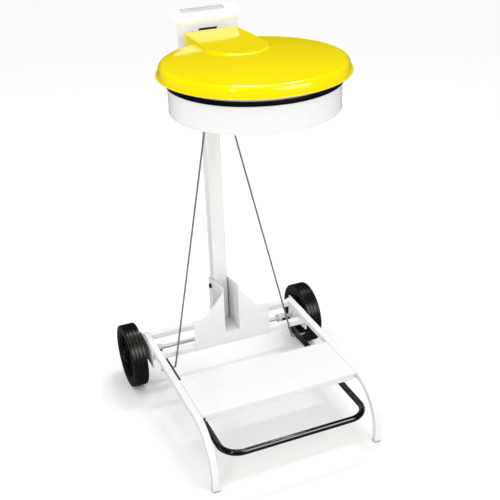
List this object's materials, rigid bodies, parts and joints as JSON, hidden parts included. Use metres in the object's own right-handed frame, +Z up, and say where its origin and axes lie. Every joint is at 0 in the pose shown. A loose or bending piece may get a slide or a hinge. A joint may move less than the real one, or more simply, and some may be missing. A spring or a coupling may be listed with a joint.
{
  "type": "pedal waste sack holder",
  "caption": "Wheeled steel stand holding a waste sack on a round hoop, with a rubber band, a hinged yellow lid and a foot pedal that lifts it through two rods.",
  "frame": {"origin": "on the floor, at the middle of the footprint box", "axes": "+Z up, -Y towards the pedal (the front), +X to the right of someone standing behind the post; the stand is symmetric about X = 0"},
  "size_m": [0.6018, 0.6474, 1.0606],
  "materials": {
    "white_powder_coat": "gloss white powder coat",
    "zinc_steel": "bright zinc plate",
    "black_plastic": "gloss",
    "grey_plastic": "satin",
    "white_nylon": "satin nylon",
    "black_bolts": "black coated",
    "tyre_rubber": "smooth black rubber",
    "band_rubber": "glossy black rubber",
    "yellow_plastic": "satin gloss",
    "lever_steel": "white powder coat",
    "black_coat": "gloss black powder coat"
  },
  "bodies": {
    "stand": {"axle": "zinc_steel", "axle_rings": "zinc_steel", "front_crossbar": "white_powder_coat", "head_bolts": "zinc_steel", "head_nuts": "zinc_steel", "head_plate": "white_powder_coat", "hinge_bracket": "white_powder_coat", "hinge_clips": "zinc_steel", "hinge_pin": "zinc_steel", "hinge_spacers": "zinc_steel", "hoop": "white_powder_coat", "hoop_bolts": "zinc_steel", "hoop_bracket": "white_powder_coat", "left_axle_cap": "black_plastic", "left_axle_cheek": "white_powder_coat", "left_foot_cap": "grey_plastic", "left_hub_spacer": "zinc_steel", "left_rail": "white_powder_coat", "left_rail_plug": "grey_plastic", "post": "white_powder_coat", "post_bolts": "black_bolts", "post_bracket": "white_powder_coat", "post_cap": "black_plastic", "post_nuts": "zinc_steel", "rear_crossbar": "white_powder_coat", "right_axle_cap": "black_plastic", "right_axle_cheek": "white_powder_coat", "right_foot_cap": "grey_plastic", "right_hub_spacer": "zinc_steel", "right_rail": "white_powder_coat", "right_rail_plug": "grey_plastic", "sack_band": "band_rubber", "slit_strip": "black_plastic", "step_plate": "white_powder_coat", "step_rivets": "zinc_steel"},
    "left_wheel": {"left_wheel_rim": "black_plastic", "left_tyre": "tyre_rubber"},
    "right_wheel": {"right_wheel_rim": "black_plastic", "right_tyre": "tyre_rubber"},
    "pedal": {"pedal_bar": "black_coat", "left_pedal_eye": "white_nylon", "right_pedal_eye": "white_nylon"},
    "left_link": {"left_rod": "zinc_steel", "left_rod_clips": "zinc_steel"},
    "right_link": {"right_rod": "zinc_steel", "right_rod_clips": "zinc_steel"},
    "lid": {"lid_shell": "yellow_plastic", "lid_lever": "lever_steel", "lid_screws": "zinc_steel", "lid_buffers": "band_rubber"}
  },
  "joints": [
    {"name": "left_wheel_spin", "type": "hinge", "parent": "stand", "child": "left_wheel", "pos_m": [-0.274, 0.23225, 0.0915], "axis": [1, 0, 0], "continuous": true},
    {"name": "right_wheel_spin", "type": "hinge", "parent": "stand", "child": "right_wheel", "pos_m": [0.274, 0.23225, 0.0915], "axis": [1, 0, 0], "continuous": true},
    {"name": "pedal_press", "type": "hinge", "parent": "stand", "child": "pedal", "pos_m": [0, 0.23225, 0.0915], "axis": [1, 0, 0], "range_deg": [0, 8]},
    {"name": "left_rod_pivot", "type": "hinge", "parent": "pedal", "child": "left_link", "pos_m": [-0.1825, 0.11475, 0.094], "axis": [1, 0, 0], "range_deg": [-8, 0]},
    {"name": "right_rod_pivot", "type": "hinge", "parent": "pedal", "child": "right_link", "pos_m": [0.1825, 0.11475, 0.094], "axis": [1, 0, 0], "range_deg": [-8, 0]},
    {"name": "lid_hinge", "type": "hinge", "parent": "stand", "child": "lid", "pos_m": [0, 0.15525, 0.988], "axis": [-1, 0, 0], "range_deg": [0, 64]}
  ],
  "couplings": [
    {"joint": "pedal_press", "follows": "lid_hinge", "ratio": 0.125},
    {"joint": "left_rod_pivot", "follows": "lid_hinge", "ratio": -0.125},
    {"joint": "right_rod_pivot", "follows": "lid_hinge", "ratio": -0.125}
  ]
}
